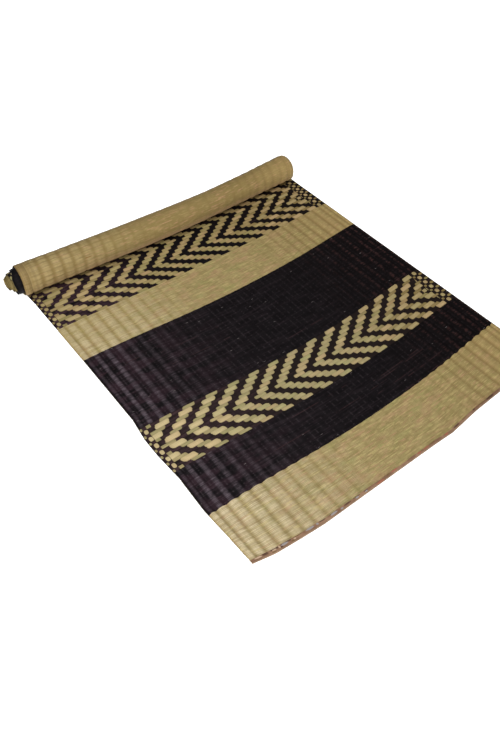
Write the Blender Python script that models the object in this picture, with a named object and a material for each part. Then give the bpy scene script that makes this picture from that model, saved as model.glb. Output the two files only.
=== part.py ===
"""A woven floor mat, part unrolled, in metres with +Z up.

The sheet lies flat from its near end, then turns up and back over itself into a loose roll at its far end.
X runs across the width and Y along the length, from the bound near end to the roll. The origin is the middle
of the footprint, on the floor.

Two measures run through the file: across is the distance from the left side of the sheet, and along is the
distance from its near end, measured on the sheet at its sides.
"""

from math import cos, pi, radians, sin, sqrt

import bpy
import numpy as np

# The sheet
WIDTH = 0.914
LENGTH = 1.841
THICKNESS = 0.0024
END_THICKNESS = 0.0016

# The crosswise lines reach further towards the near end in their middle than at the sides
WEFT_BOW = 0.0225
WEFT_BOW_POWER = 1.7
BOW_EASES_FROM = 0.700

# Ribs along the sheet, highest near its sides and gone in its middle
RIB_HEIGHT = 0.0022
RIB_SHOULDER = 0.27
RIB_FULL_TO = 0.10
RIB_GONE_FROM = 0.33
LEAST_RIB_SHARE = 0.01
PLAIN_COLUMN = 0.045
COARSE_COLUMNS = 7

# The valleys between ribs, by their count from the left side. The ribs are narrower at both sides.
RIB_VALLEYS = {
    "valley": (0, 1, 2, 11, 20, 27, 28, 29, 30, 31),
    "across": (0.000, 0.019, 0.0455, 0.3165, 0.606, 0.8197, 0.853, 0.8815, 0.900, 0.914),
}

# Rows of the flat length
FIRST_FLAT_ROW = 0.070
LAST_FLAT_ROW = 0.913
FLAT_ROWS = 15
RIBS_GO_UNDER_ROLL = ((0.938, 0.6), (0.954, 0.0))

# The roll
ROLL_START = 0.958
ROLL_RADIUS = 0.0402
ROLL_BOW = 0.0155
CORE_RADIUS = 0.0070
OUTER_STEP = radians(15)
INNER_STEP = radians(22.5)
OUTSIDE_RIBS_RISE = (radians(10), radians(40))
OUTSIDE_RIBS_FALL = (radians(300), radians(335))

# The tape folded over the near end
TAPE_THICKNESS = 0.0010
TAPE_LAP = {
    "across": (0.000, 0.045, 0.150, 0.340, 0.914),
    "lap": (0.0068, 0.0092, 0.0084, 0.0062, 0.0062),
}
TAPE_WAVE = 0.0006
TAPE_WAVES = 13
CLEARANCE = 0.0003

# Past the tape the sheet comes down to the floor and swells to its full thickness
RAMP_PLACE, RAMP_HEIGHT, RAMP_THICKNESS, RAMP_RIBS = 0.006, 0.0007, 0.0022, 0.6
SETTLED_PLACE = 0.020

# The near end's outline: how far it reaches out past a straight line, at distances across
NEAR_END = {
    "across": (0.000, 0.055, 0.115, 0.175, 0.380, 0.500, 0.560, 0.650, 0.780, 0.860, 0.914),
    "out": (0.001, 0.012, 0.0182, 0.0231, 0.0266, 0.0291, 0.0315, 0.0239, 0.0201, 0.0130, 0.001),
}
NEAR_END_BLEND = 0.140

# The left side's waver: how far it stands in from a straight line, at distances along
LEFT_SIDE = {
    "along": (0.000, 0.070, 0.150, 0.240, 0.320, 0.370, 0.430, 0.650, 0.900, 0.958),
    "in": (0.005, 0.002, -0.003, 0.000, -0.005, -0.005, 0.002, 0.001, -0.002, -0.005),
}
SIDE_REACH = 0.150

# The roll's right end: how much wider its outer turn is than in its middle. The rim curls in.
ROLL_END = {
    "across": (0.800, 0.860, 0.885, 0.900, 0.914),
    "wider": (0.0000, 0.0010, 0.0030, 0.0000, -0.0090),
}

# The outer turns are looser towards the sides, and the inner ones are tight, but lie higher there instead
LOOSER = {
    "across": (0.000, 0.040, 0.100, 0.400, 0.500, 0.600, 0.750, 0.800, 0.860, 0.914),
    "radius": (0.0040, 0.0033, 0.0023, 0.0022, 0.0012, 0.0000, 0.0000, 0.0008, 0.0010, 0.0006),
}
LOOSE_TO, TIGHT_FROM = 1.6, 3.0
TIGHT_RISE_SHARE = 0.65

# The turns slide to the left, by their count from outside, and the inner ones lie high and far back
TURNS = {
    "turns": (
        *(0, 0.39, 0.61, 0.75, 0.88, 1.0, 1.4, 1.5, 1.6, 1.68, 1.75, 1.85, 2.0, 2.25, 2.5, 2.75),
        *(3.0, 3.25, 3.5, 3.75, 4.0, 4.4, 4.75, 5.0, 5.25, 6.2),
    ),
    "left": (
        *(0, 0.002, 0.005, 0.008, 0.006, 0.006, 0.014, 0.0165, 0.0255, 0.0265, 0.024, 0.0215, 0.0205),
        *(0.0255, 0.0265, 0.028, 0.0265, 0.031, 0.033, 0.034, 0.0355, 0.0366, 0.037, 0.038, 0.0375, 0.038),
    ),
}
CORE_RISE = 0.0012
CORE_RISE_FROM = 0.8

SEDGE = {"colour": (0.50, 0.42, 0.22, 1.0), "roughness": 0.55}
TAPE = {"colour": (0.30, 0.17, 0.11, 1.0), "roughness": 0.85}


def smoothstep(low, high, value):
    """0 below low, 1 above high, and a smooth rise between them."""
    share = np.clip((value - low) / (high - low), 0.0, 1.0)
    return share * share * (3.0 - 2.0 * share)


def centred(across):
    """-1 at the left side, 0 in the middle and 1 at the right side."""
    return 2.0 * across / WIDTH - 1.0


def rib_valleys():
    """The places across of the valleys between ribs, from the left side to the right."""
    counts = range(RIB_VALLEYS["valley"][-1] + 1)
    return [float(np.interp(count, RIB_VALLEYS["valley"], RIB_VALLEYS["across"])) for count in counts]


VALLEYS = rib_valleys()


def side_share(across):
    """1 where the ribs are at their highest and 0 in the smooth middle."""
    return 1.0 - smoothstep(RIB_FULL_TO, RIB_GONE_FROM, min(across, WIDTH - across))


def rib_height(across):
    """How far the ribs raise the sheet's face here."""
    rib = min(int(np.searchsorted(VALLEYS, across, side="right")), len(VALLEYS) - 1)
    start, end = VALLEYS[rib - 1], VALLEYS[rib]
    return RIB_HEIGHT * side_share(across) * sin(pi * (across - start) / (end - start))


def fine_columns():
    """Places across: three for each rib near the sides, and a few over the smooth middle."""
    places = []
    for start, end in zip(VALLEYS, VALLEYS[1:]):
        if max(side_share(start), side_share(end)) > LEAST_RIB_SHARE:
            width = end - start
            places += [start, start + RIB_SHOULDER * width, end - RIB_SHOULDER * width]
        elif start - places[-1] > PLAIN_COLUMN:
            places.append(start)
    return [*places, WIDTH]


FINE = fine_columns()
VALLEY_COLUMNS = [place for place in FINE if place in VALLEYS]
COARSE = [float(place) for place in np.linspace(0.0, WIDTH, COARSE_COLUMNS)]


def weft_bow(across):
    """The share of the bow, 1 in the middle of the width, that each crosswise line has here."""
    return cos(pi / 2 * centred(across)) ** WEFT_BOW_POWER


def bow(across, along):
    """How far a crosswise line of the sheet lies ahead of its own ends here."""
    near = float(np.interp(across, NEAR_END["across"], NEAR_END["out"]))
    amount = WEFT_BOW + (ROLL_BOW - WEFT_BOW) * smoothstep(BOW_EASES_FROM, ROLL_START, along)
    share = smoothstep(0.0, NEAR_END_BLEND, along)
    return near + (amount * weft_bow(across) - near) * share


def side_waver(across, along):
    """How far the left side's waver moves the sheet to the right here."""
    amount = float(np.interp(along, LEFT_SIDE["along"], LEFT_SIDE["in"]))
    return amount * (1.0 - smoothstep(0.0, SIDE_REACH, across))


MIDDLE_RADIUS = ROLL_RADIUS - THICKNESS / 2
TURN_PITCH = pi * (MIDDLE_RADIUS**2 - CORE_RADIUS**2) / (LENGTH - ROLL_START)


def along_at(angle):
    """The distance along the sheet at this angle of the roll, which starts at 0 on the floor."""
    return ROLL_START + MIDDLE_RADIUS * angle - TURN_PITCH * angle**2 / (4 * pi)


def angle_at(along):
    """The angle of the roll at this distance along the sheet."""
    rolled = along - ROLL_START
    return (MIDDLE_RADIUS - sqrt(MIDDLE_RADIUS**2 - TURN_PITCH * rolled / pi)) * 2 * pi / TURN_PITCH


def on_floor(across, along, height):
    """A point of the flat length."""
    return (across + side_waver(across, along), along - bow(across, along), height)


def on_roll(across, angle, depth):
    """A point of the roll, this deep into the sheet from the face that is outside."""
    turns = angle / (2 * pi)
    wider = float(np.interp(across, ROLL_END["across"], ROLL_END["wider"]))
    looser = float(np.interp(across, LOOSER["across"], LOOSER["radius"]))
    tight = float(np.interp(turns, (LOOSE_TO, TIGHT_FROM), (0.0, 1.0)))
    flare = (wider * max(0.0, 1.0 - turns) if wider > 0 else wider) + looser * (1.0 - tight)
    radius = ROLL_RADIUS + flare - TURN_PITCH * turns - depth
    left = float(np.interp(turns, TURNS["turns"], TURNS["left"]))
    rise = CORE_RISE * max(0.0, turns - CORE_RISE_FROM) + TIGHT_RISE_SHARE * looser * tight
    x = across + side_waver(across, ROLL_START) - left
    y = ROLL_START - bow(across, ROLL_START) + rise + radius * sin(angle)
    return (x, y, ROLL_RADIUS + flare + rise - radius * cos(angle))


def flat_rows():
    """Rows of the flat length: distance along, underside height, thickness, share of rib height, columns."""
    raised = TAPE_THICKNESS + CLEARANCE
    lap = max(TAPE_LAP["lap"]) + TAPE_WAVE + 2 * CLEARANCE
    rows = [
        (0.0, raised, END_THICKNESS, 0.0, VALLEY_COLUMNS, VALLEY_COLUMNS),
        (lap, raised, END_THICKNESS, 0.0, VALLEY_COLUMNS, VALLEY_COLUMNS),
        (lap + RAMP_PLACE, RAMP_HEIGHT, RAMP_THICKNESS, RAMP_RIBS, FINE, VALLEY_COLUMNS),
        (lap + SETTLED_PLACE, 0.0, THICKNESS, 1.0, FINE, VALLEY_COLUMNS),
    ]
    middle = np.linspace(FIRST_FLAT_ROW, LAST_FLAT_ROW, FLAT_ROWS)
    rows += [(float(along), 0.0, THICKNESS, 1.0, FINE, COARSE) for along in middle]
    rows += [(along, 0.0, THICKNESS, share, FINE, FINE) for along, share in RIBS_GO_UNDER_ROLL]
    return rows


def roll_angles():
    """The angles of the roll's rows. Every inner turn has its rows at the same places, so that none touch."""
    last = angle_at(LENGTH)
    outer = [float(angle) for angle in np.arange(0.0, 2 * pi - OUTER_STEP / 2, OUTER_STEP)]
    inner = [float(angle) for angle in np.arange(2 * pi, last - INNER_STEP / 2, INNER_STEP)]
    return [*outer, *inner, last]


def bridge(first, second, turned_over):
    """Triangles between two rows of (distance across, vertex), which may differ in their counts."""
    faces = []
    i = j = 0
    while i < len(first) - 1 or j < len(second) - 1:
        second_done = j == len(second) - 1
        if second_done or (i < len(first) - 1 and first[i + 1][0] <= second[j + 1][0]):
            face = (first[i][1], first[i + 1][1], second[j][1])
            i += 1
        else:
            face = (first[i][1], second[j + 1][1], second[j][1])
            j += 1
        faces.append(face[::-1] if turned_over else face)
    return faces


def closed_sheet(under_rows, over_rows):
    """The vertices and faces of a solid whose two faces are these rows of (distance across, point)."""
    vertices = []

    def numbered(rows):
        result = []
        for row in rows:
            result.append([(across, len(vertices) + index) for index, (across, _) in enumerate(row)])
            vertices.extend(point for _, point in row)
        return result

    under, over = numbered(under_rows), numbered(over_rows)
    faces = bridge(under[0], over[0], False) + bridge(under[-1], over[-1], True)
    for index in range(len(over) - 1):
        faces += bridge(over[index], over[index + 1], False)
        faces += bridge(under[index], under[index + 1], True)
        left = (under[index][0], over[index][0], over[index + 1][0], under[index + 1][0])
        right = (under[index][-1], under[index + 1][-1], over[index + 1][-1], over[index][-1])
        faces += [tuple(vertex for _, vertex in left), tuple(vertex for _, vertex in right)]
    return vertices, faces


def mat_shape():
    under, over = [], []
    for along, height, thickness, ribs, over_columns, under_columns in flat_rows():
        under.append([(across, on_floor(across, along, height)) for across in under_columns])
        tops = [height + thickness + ribs * rib_height(across) for across in over_columns]
        over.append([(across, on_floor(across, along, top)) for across, top in zip(over_columns, tops)])
    for angle in roll_angles():
        ribs = smoothstep(*OUTSIDE_RIBS_RISE, angle) * (1.0 - smoothstep(*OUTSIDE_RIBS_FALL, angle))
        columns = FINE if angle <= 2 * pi else COARSE
        under.append([(across, on_roll(across, angle, -ribs * rib_height(across))) for across in columns])
        over.append([(across, on_roll(across, angle, THICKNESS)) for across in COARSE])
    return closed_sheet(under, over)


def tape_shape():
    """A tape with a U-shaped section, open to the mat, that takes in its near end."""
    height = 2 * (TAPE_THICKNESS + CLEARANCE) + END_THICKNESS
    front = -CLEARANCE - TAPE_THICKNESS
    vertices, faces = [], []
    for across in VALLEY_COLUMNS:
        far = across / WIDTH
        wave = TAPE_WAVE * sin(2 * pi * TAPE_WAVES * far) * sin(pi * far)
        lap = float(np.interp(across, TAPE_LAP["across"], TAPE_LAP["lap"])) + wave
        section = (
            (lap, 0.0),
            (front, 0.0),
            (front, height),
            (lap, height),
            (lap, height - TAPE_THICKNESS),
            (-CLEARANCE, height - TAPE_THICKNESS),
            (-CLEARANCE, TAPE_THICKNESS),
            (lap, TAPE_THICKNESS),
        )
        vertices += [on_floor(across, along, z) for along, z in section]
    size = len(section)
    for station in range(len(VALLEY_COLUMNS) - 1):
        base = station * size
        for corner in range(size):
            following = (corner + 1) % size
            faces.append((base + corner, base + size + corner, base + size + following, base + following))
    # The end faces are the two laps and the front, so that each is a simple quadrilateral.
    last = (len(VALLEY_COLUMNS) - 1) * size
    for quad in ((0, 1, 6, 7), (1, 2, 5, 6), (2, 3, 4, 5)):
        faces.append(quad)
        faces.append(tuple(last + corner for corner in reversed(quad)))
    return vertices, faces


def material(name, look):
    made = bpy.data.materials.new(name)
    made.use_nodes = True
    shader = made.node_tree.nodes["Principled BSDF"]
    shader.inputs["Base Color"].default_value = look["colour"]
    shader.inputs["Roughness"].default_value = look["roughness"]
    shader.inputs["Metallic"].default_value = 0.0
    made.diffuse_color = look["colour"]
    return made


def add_piece(name, vertices, faces, look):
    mesh = bpy.data.meshes.new(name)
    mesh.from_pydata(vertices.tolist(), [], faces)
    mesh.update()
    mesh.shade_smooth()
    mesh.set_sharp_from_angle(angle=radians(40))
    piece = bpy.data.objects.new(name, mesh)
    piece.data.materials.append(material(name, look))
    bpy.context.scene.collection.objects.link(piece)
    return piece


def build():
    for thing in list(bpy.data.objects):
        bpy.data.objects.remove(thing, do_unlink=True)
    mat_vertices, mat_faces = mat_shape()
    tape_vertices, tape_faces = tape_shape()
    everything = np.array(mat_vertices + tape_vertices)
    footprint = (everything.min(axis=0) + everything.max(axis=0)) / 2
    footprint[2] = 0.0
    add_piece("mat", np.array(mat_vertices) - footprint, mat_faces, SEDGE)
    add_piece("end_binding", np.array(tape_vertices) - footprint, tape_faces, TAPE)


build()
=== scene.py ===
"""The looks of the woven floor mat: its weave on the solid's form, its bound end, and the studio round it.

Metres, with +Z up. X runs across the mat from its left side and Y along it, from the bound near end to the
roll.

Two measures come from the solid: across is the distance from the left side of the sheet, and along is the
distance from its near end, measured on the sheet at its left side. Two counts are the weaver's. A row is one
pick of sedge across the mat, counted from the near end. A column is half a rib's width, counted so that each
rib of the wide middle starts at an even column, with narrow columns at both sides for the plain edges.
"""

from functools import reduce
from math import pi, radians
from types import SimpleNamespace

import bpy
import numpy as np
from mathutils import Matrix, Vector

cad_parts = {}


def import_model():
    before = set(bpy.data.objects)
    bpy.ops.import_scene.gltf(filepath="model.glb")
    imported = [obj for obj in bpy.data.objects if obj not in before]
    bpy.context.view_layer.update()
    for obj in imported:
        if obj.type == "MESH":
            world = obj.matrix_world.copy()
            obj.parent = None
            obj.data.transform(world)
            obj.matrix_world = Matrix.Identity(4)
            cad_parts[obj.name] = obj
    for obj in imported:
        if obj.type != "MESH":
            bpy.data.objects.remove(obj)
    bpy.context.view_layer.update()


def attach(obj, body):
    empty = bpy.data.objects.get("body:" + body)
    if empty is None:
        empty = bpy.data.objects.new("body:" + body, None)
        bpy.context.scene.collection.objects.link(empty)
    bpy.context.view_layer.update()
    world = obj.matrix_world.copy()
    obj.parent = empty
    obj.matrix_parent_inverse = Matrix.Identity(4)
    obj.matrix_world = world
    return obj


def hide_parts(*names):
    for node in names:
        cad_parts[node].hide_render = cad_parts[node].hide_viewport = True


# The solid's own measures, which its source also holds
WIDTH, LENGTH = 0.914, 1.841
THICKNESS, END_THICKNESS = 0.0024, 0.0016
FOOTPRINT = (0.4355, 0.48540157, 0.0)
WEFT_BOW_POWER = 1.7
NEAR_END = {
    "across": (0.000, 0.055, 0.115, 0.175, 0.380, 0.500, 0.560, 0.650, 0.780, 0.860, 0.914),
    "out": (0.001, 0.012, 0.0182, 0.0231, 0.0266, 0.0291, 0.0315, 0.0239, 0.0201, 0.0130, 0.001),
}
NEAR_END_BLEND = 0.140
LEFT_SIDE = {
    "along": (0.000, 0.070, 0.150, 0.240, 0.320, 0.370, 0.430, 0.650, 0.900, 0.958),
    "in": (0.005, 0.002, -0.003, 0.000, -0.005, -0.005, 0.002, 0.001, -0.002, -0.005),
}
RIB_HEIGHT = 0.0022
RIB_FULL_TO, RIB_GONE_FROM = 0.10, 0.33
RIB_VALLEYS = {
    "valley": (0, 1, 2, 11, 20, 27, 28, 29, 30, 31),
    "across": (0.000, 0.019, 0.0455, 0.3165, 0.606, 0.8197, 0.853, 0.8815, 0.900, 0.914),
}
ROLL_START, ROLL_RADIUS, ROLL_BOW, CORE_RADIUS = 0.958, 0.0402, 0.0155, 0.0070
OUTSIDE_RIBS_RISE = (radians(10), radians(40))
OUTSIDE_RIBS_FALL = (radians(300), radians(335))
ROLL_END = {
    "across": (0.800, 0.860, 0.885, 0.900, 0.914),
    "wider": (0.0000, 0.0010, 0.0030, 0.0000, -0.0090),
}
LOOSER = {
    "across": (0.000, 0.040, 0.100, 0.400, 0.500, 0.600, 0.750, 0.800, 0.860, 0.914),
    "radius": (0.0040, 0.0033, 0.0023, 0.0022, 0.0012, 0.0000, 0.0000, 0.0008, 0.0010, 0.0006),
}
LOOSE_TO, TIGHT_FROM, TIGHT_RISE_SHARE = 1.6, 3.0, 0.65
TURNS = {
    "turns": (
        *(0, 0.39, 0.61, 0.75, 0.88, 1.0, 1.4, 1.5, 1.6, 1.68, 1.75, 1.85, 2.0, 2.25, 2.5, 2.75),
        *(3.0, 3.25, 3.5, 3.75, 4.0, 4.4, 4.75, 5.0, 5.25, 6.2),
    ),
    "left": (
        *(0, 0.002, 0.005, 0.008, 0.006, 0.006, 0.014, 0.0165, 0.0255, 0.0265, 0.024, 0.0215, 0.0205),
        *(0.0255, 0.0265, 0.028, 0.0265, 0.031, 0.033, 0.034, 0.0355, 0.0366, 0.037, 0.038, 0.0375, 0.038),
    ),
}
CORE_RISE, CORE_RISE_FROM = 0.0012, 0.8
TAPE_LAP = {
    "across": (0.000, 0.045, 0.150, 0.340, 0.914),
    "lap": (0.0068, 0.0092, 0.0084, 0.0062, 0.0062),
}
TAPE_THICKNESS, TAPE_WAVE, TAPE_WAVES, CLEARANCE = 0.0010, 0.0006, 13, 0.0003

# How the flat length rises over the tape and how its ribs fade: at distances along
FLAT_FORM = {
    "along": (0.0, 0.0104, 0.0164, 0.0304, 0.913, 0.938, 0.954),
    "under": (0.0013, 0.0013, 0.0007, 0.0, 0.0, 0.0, 0.0),
    "thick": (0.0016, 0.0016, 0.0022, 0.0024, 0.0024, 0.0024, 0.0024),
    "ribs": (0.0, 0.0, 0.6, 1.0, 1.0, 0.6, 0.0),
}

# Where rows lie on the flat length: at the left side, at the right side, and how far their middle bows nearer
ROW_LINES = {
    "row": (0, 13, 25, 38, 62, 74, 80.5, 86.5, 90),
    "left": (0.0, 0.1305, 0.2575, 0.3995, 0.653, 0.782, 0.855, 0.918, 0.9545),
    "right": (0.0, 0.1318, 0.2580, 0.3950, 0.6545, 0.7815, 0.850, 0.908, 0.9445),
    "bow": (0.0255, 0.019, 0.020, 0.024, 0.021, 0.0095, 0.0105, 0.0055, 0.0115),
}
# How far every row wavers away from the near end at its right part
ROW_WAVER = {
    "across": (0.50, 0.58, 0.64, 0.70, 0.76, 0.82, 0.88, 0.914),
    "away": (0.0, -0.0013, -0.0020, -0.0029, -0.0021, -0.0005, 0.0018, 0.0020),
}
WAVER_ENDS_FROM, WAVER_ENDS_AT = 80, 89
# Where rows lie along the whole mat, whose stripes run in the mirror's order past the middle of its length
ROWS_ALONG = {
    "along": (
        *(0.0, 0.132, 0.256, 0.396, 0.651, 0.780, 0.853, 0.917),
        *(0.958, 1.055, 1.186, 1.441, 1.579, 1.703, 1.841),
    ),
    "row": (0, 13, 25, 38, 62, 74, 80.5, 86.5, 90.3, 99, 111, 135, 148, 160, 173),
}
COLUMNS = {
    "column": (-2, -1, 0, 0.6, 1, 2, 6, 10, 14, 18, 22, 26, 34, 48, 52, 54, 55, 56, 57, 58, 59),
    "across": (
        *(0.0, 0.0065, 0.0165, 0.0275, 0.036, 0.051, 0.1118, 0.173, 0.2342, 0.293, 0.3500, 0.4083, 0.5352),
        *(0.7548, 0.8145, 0.8466, 0.8604, 0.8752, 0.885, 0.898, 0.914),
    ),
}
# How far the columns and ribs lean to the right over the length between the chevron stripes
COLUMN_LEAN = {
    "across": (0.0, 0.030, 0.090, 0.210, 0.450, 0.600, 0.810, 0.880, 0.914),
    "lean": (0.0, 0.0031, 0.0055, 0.0038, 0.0018, 0.0010, 0.0024, 0.0022, 0.0),
}
LEAN_MIDDLE, LEAN_LENGTH = 0.587, 0.521
FIRST_COLUMN, LAST_COLUMN = -2, 59
LEFT_EDGE_COLUMNS, RIGHT_EDGE_COLUMNS = 0, 56

# Stripes, by their count of rows from the row that runs along the middle of the mat's length
MIDDLE_ROW = 86
STRIPES = {"wide": (0, 13), "narrow": (49, 62), "inner_black": (25, 49), "outer_black": (62, 74)}
# Past this row, in the roll's core, the weave is natural
INNER_END_ROW = 139
# The counts of rows where the chevrons turn, and how many columns a float covers
WIDE_POINT, NARROW_POINT = 6, 55
FLOAT_COLUMNS = 2

# Sedge tapers, so that rows laid butt to tip alternate thick and thin at each side
ROW_UNEVEN, ROW_JITTER = 0.125, 0.040
PARITY_SWAPS_AT = 50

# How far the weave stands up, and how much higher floats stand among the ribs of the sides
ROW_RELIEF, FLOAT_RELIEF, EDGE_RELIEF = 0.00014, 0.00052, 0.00040
SIDE_FLOATS_RISE, RELIEF_POWER, EDGE_RELIEF_LEAST = 0.9, 0.7, 0.5
# How thick a row is in the middle of the mat, and how much that changes towards its ends
ROW_LIFT, ROW_LIFT_CHANGE = 0.78, 0.22
SCALLOP = 0.0006
RIM_INSET, RIM_DROP = 0.0004, 0.0005
# How the outer face rounds off towards the left rims of the roll's nose, and in which turns that starts
NOSE_ROUNDING, NOSE_ROUNDING_REACH, NOSE_ROUNDING_STARTS = 0.0014, 0.014, (0.9, 1.1)
OUTSIDE_WEAVE_FULL_AT = radians(20)
RIBS_IN_CHEVRONS = 0.10
RIB_ROUNDING = 1.3

# How finely the mesh is cut
STEPS_PER_ROW, STEPS_PER_COLUMN = 4, 3
LAST_FINE_ROW, FIRST_OUTSIDE_ROW, LAST_OUTSIDE_ROW = 89.5, 91, 111
LAST_FLAT_LINE = 0.956
TURN_STEP = radians(12)
COARSE_COLUMNS = (-2, -1, 0, 0.6, 2, 5, 9, 16, 24, 32, 40, 46, 50, 52, 54, 55, 56, 57, 58, 59)
UNDER_ALONG = (0.0, 0.0104, 0.0164, 0.0304, 0.07, 0.15, 0.24, 0.32, 0.37, 0.43, 0.54, 0.65, 0.78, 0.90, 0.954)

SEED = 11


def smoothstep(low, high, value):
    """0 below low, 1 above high, and a smooth rise between them."""
    share = np.clip((value - low) / (high - low), 0.0, 1.0)
    return share * share * (3.0 - 2.0 * share)


def curves(table, place):
    """The later lists of a table, each read at a place in its first."""
    first, *others = table.values()
    return [np.interp(place, first, other) for other in others]


def curve(table, place):
    return curves(table, place)[0]


def across_at(column):
    return curve(COLUMNS, column)


def column_at(across):
    return np.interp(across, COLUMNS["across"], COLUMNS["column"])


def row_at(along):
    return curve(ROWS_ALONG, along)


def along_of_row(row):
    return np.interp(row, ROWS_ALONG["row"], ROWS_ALONG["along"])


def side_share(across):
    """1 where the ribs are at their highest and 0 in the smooth middle."""
    return 1.0 - smoothstep(RIB_FULL_TO, RIB_GONE_FROM, np.minimum(across, WIDTH - across))


def rib_at(across):
    """The count of ribs from the left side, whole in each valley."""
    return np.interp(across, RIB_VALLEYS["across"], RIB_VALLEYS["valley"])


def rib_crest(across):
    """1 on a rib's crest and 0 in a valley, less towards the smooth middle."""
    return np.abs(np.sin(pi * rib_at(across))) ** RIB_ROUNDING * side_share(across)


def weft_bow(across):
    """The share of a row's bow that it has here, 1 in the middle of the width."""
    return np.maximum(np.cos(pi / 2 * (2.0 * across / WIDTH - 1.0)), 0.0) ** WEFT_BOW_POWER


def side_waver(across, along):
    """How far the left side's waver moves the sheet to the right here."""
    reach = 0.055
    return curve(LEFT_SIDE, along) * (1.0 - smoothstep(0.0, reach, across))


def lean(across, along):
    """How far the columns' lean moves the weave to the right here."""
    share = (along - LEAN_MIDDLE) / LEAN_LENGTH
    return curve(COLUMN_LEAN, across) * share


MIDDLE_RADIUS = ROLL_RADIUS - THICKNESS / 2
TURN_PITCH = pi * (MIDDLE_RADIUS**2 - CORE_RADIUS**2) / (LENGTH - ROLL_START)


def along_at(angle):
    """The distance along the sheet at this angle of the roll, which starts at 0 on the floor."""
    return ROLL_START + MIDDLE_RADIUS * angle - TURN_PITCH * angle**2 / (4 * pi)


def angle_at(along):
    """The angle of the roll at this distance along the sheet."""
    rolled = along - ROLL_START
    return (MIDDLE_RADIUS - np.sqrt(MIDDLE_RADIUS**2 - TURN_PITCH * rolled / pi)) * 2 * pi / TURN_PITCH


def line_y(row, across):
    """How far a row lies from the near end here."""
    left, right, amount = curves(ROW_LINES, row)
    near = curve(NEAR_END, across)
    share = smoothstep(0.0, NEAR_END_BLEND, left)
    away = curve(ROW_WAVER, across)
    away = away * share * (1.0 - smoothstep(WAVER_ENDS_FROM, WAVER_ENDS_AT, row))
    return left + (right - left) * across / WIDTH - near - (amount * weft_bow(across) - near) * share + away


JITTER = np.random.default_rng(SEED).uniform(-ROW_JITTER, ROW_JITTER, 256)


def thick_at_left(number):
    """Whether this row lies with its thick, pale end at the left side."""
    return (number + (number >= PARITY_SWAPS_AT)) % 2 == 0


def row_lift(number, across):
    """How thick this row is here, from about half to 1."""
    lean = np.cos(pi * across / WIDTH) * (1 if thick_at_left(number) else -1)
    return ROW_LIFT + ROW_LIFT_CHANGE * lean


def row_edge(number, across):
    """The place of the line between a row and the one before it, in rows."""
    if number == 0:
        return 0.0 * across
    lean = np.cos(pi * across / WIDTH) * (1 if thick_at_left(number - 1) else -1)
    return number + ROW_UNEVEN * lean + JITTER[number]


def woven_y(row, across):
    number = int(np.floor(row))
    start = line_y(row_edge(number, across), across)
    end = line_y(row_edge(number + 1, across), across)
    return start + (end - start) * (row - number)


def in_stripe(number, name):
    low, high = STRIPES[name]
    return low <= abs(number - MIDDLE_ROW) < high


def relief(row, columns, across):
    """How far the weave stands up above the sheet's plain face, without its ribs."""
    number = int(np.floor(row))
    swell = np.sin(pi * (row - number)) ** RELIEF_POWER if row > number else 0.0
    side = side_share(across)
    lift = 1.0
    wide, narrow = in_stripe(number, "wide"), in_stripe(number, "narrow")
    height = ROW_RELIEF * np.ones_like(across)
    if wide or narrow:
        lift = row_lift(number, across)
        shift = abs(abs(number - MIDDLE_ROW) - (WIDE_POINT if wide else NARROW_POINT))
        cell = np.abs(np.sin(pi / 2 * (columns - shift)))
        height = ROW_RELIEF + FLOAT_RELIEF * (1.0 + SIDE_FLOATS_RISE * side) * cell**RELIEF_POWER
    edge = (columns < LEFT_EDGE_COLUMNS) | (columns > RIGHT_EDGE_COLUMNS)
    height = np.where(edge, EDGE_RELIEF * (EDGE_RELIEF_LEAST + np.abs(np.sin(pi * columns))), height)
    return height * swell * lift


def rows_outside(row, name):
    """How many rows this place lies outside a stripe."""
    low, high = STRIPES[name]
    count = abs(row - MIDDLE_ROW - 0.5)
    return max(low - 0.5 - count, count - (high - 0.5), 0.0)


def ribs(row, across, share):
    """How far the ribs raise the sheet's face here. Chevrons flatten them, and a row past them."""
    outside = min(rows_outside(row, "wide"), rows_outside(row, "narrow"))
    kept = RIBS_IN_CHEVRONS + (1.0 - RIBS_IN_CHEVRONS) * float(smoothstep(0.0, 1.0, outside))
    return RIB_HEIGHT * share * kept * rib_crest(across)


def at_rims(columns):
    return (columns == FIRST_COLUMN) | (columns == LAST_COLUMN)


def outwards(columns):
    """-1 at the left rim, 1 at the right rim and 0 between them."""
    return (columns == LAST_COLUMN) * 1.0 - (columns == FIRST_COLUMN) * 1.0


class Line:
    """One line of the mesh across the sheet."""

    def __init__(self, points, columns, row, along, level):
        self.points, self.columns, self.level = points, columns, level
        self.row, self.along = row, along
        self.first = None

    def vertices(self):
        """Each column of the line and its vertex."""
        return [(column, self.first + index) for index, column in enumerate(self.columns)]


def rim_bulge(row, level):
    """How far the rims stand out at this row and level."""
    return SCALLOP * np.sin(pi * (row % 1.0)) if level == 0.5 else -RIM_INSET


def flat_place(across, y, along, row, columns, level):
    """Points of the flat length, at level 0 for its underside, 0.5 for a rim and 1 for its top."""
    under, thick, share = curves(FLAT_FORM, along)
    z = under + thick * level * np.ones_like(across)
    if level == 1:
        z = z + ribs(row, across, share) + relief(row, columns, across) * (along > 0)
    z = z - (level - 0.5) * 2 * RIM_DROP * at_rims(columns)
    x = across + side_waver(across, along) + lean(across, along) + outwards(columns) * rim_bulge(row, level)
    return np.stack([x, y, z], axis=1)


def flat_line(row, columns, level):
    """A line along a row of the flat length."""
    across = across_at(columns)
    along = float(curve(ROW_LINES, row))
    points = flat_place(across, woven_y(row, across), along, row, columns, level)
    return Line(points, columns, row, along, level)


def plain_line(along, columns, level):
    """A line of the flat length at one distance along."""
    across = across_at(columns)
    near = curve(NEAR_END, across)
    bow = near + (ROLL_BOW * weft_bow(across) - near) * smoothstep(0.0, NEAR_END_BLEND, along)
    points = flat_place(across, along - bow, along, 0.0, columns, level)
    return Line(points, columns, float(row_at(along)), along, level)


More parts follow.
